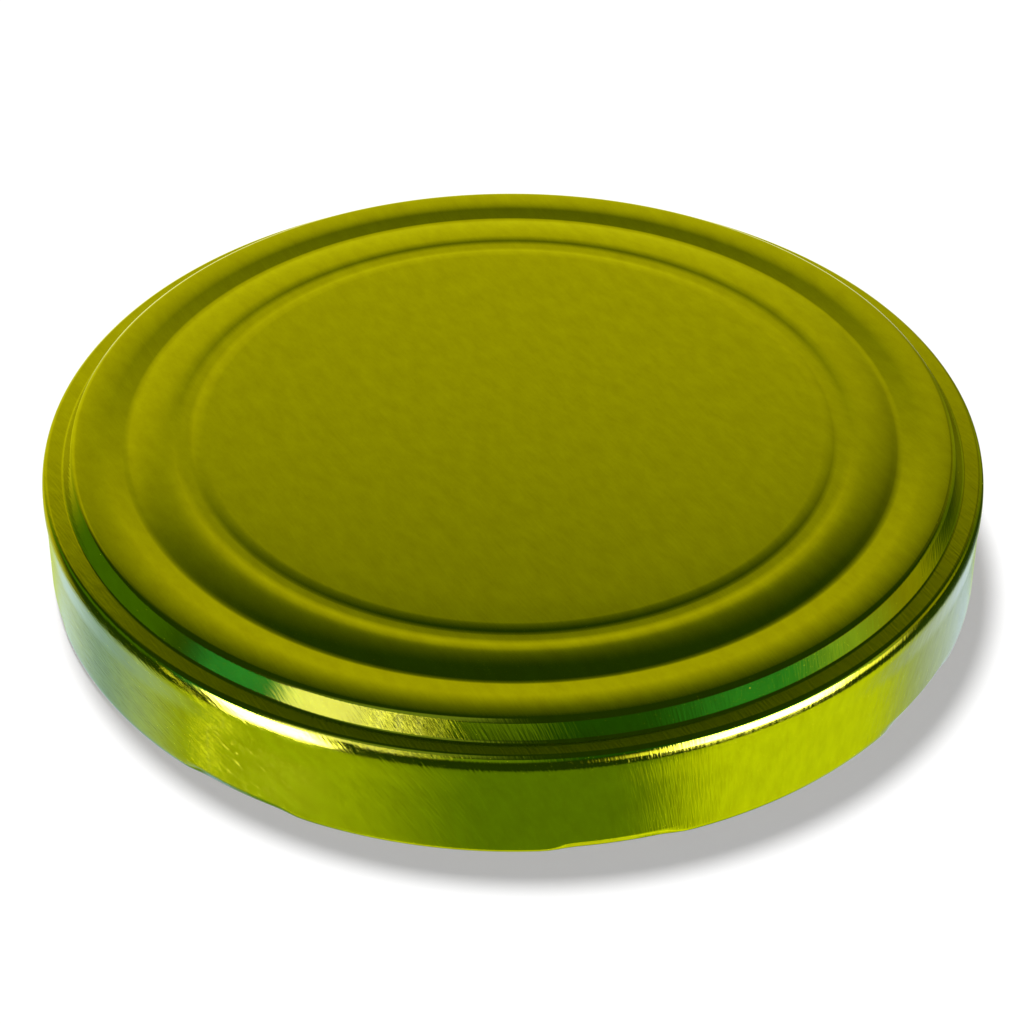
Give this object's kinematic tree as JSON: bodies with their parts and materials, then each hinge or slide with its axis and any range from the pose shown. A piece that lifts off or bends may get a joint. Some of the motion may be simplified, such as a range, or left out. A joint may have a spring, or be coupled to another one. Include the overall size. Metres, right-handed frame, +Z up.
{
  "type": "jar lid",
  "caption": "Wide press-formed lug cap for a jar, in olive-gold lacquered tinplate, with ring beads, a curled edge and a cream sealing ring.",
  "frame": {"origin": "centre of the curled rim's lower edge, on the lid's axis", "axes": "+Z up along the lid's axis, panel on top; a lug faces -Y"},
  "size_m": [0.1124, 0.1124, 0.017],
  "materials": {
    "lid_shell": "clear olive-gold lacquer over bright tinplate, glossy",
    "sealing_ring": "satin cream sealing compound"
  },
  "bodies": {
    "root": {"lid_shell": "lid_shell", "sealing_ring": "sealing_ring"}
  },
  "joints": []
}
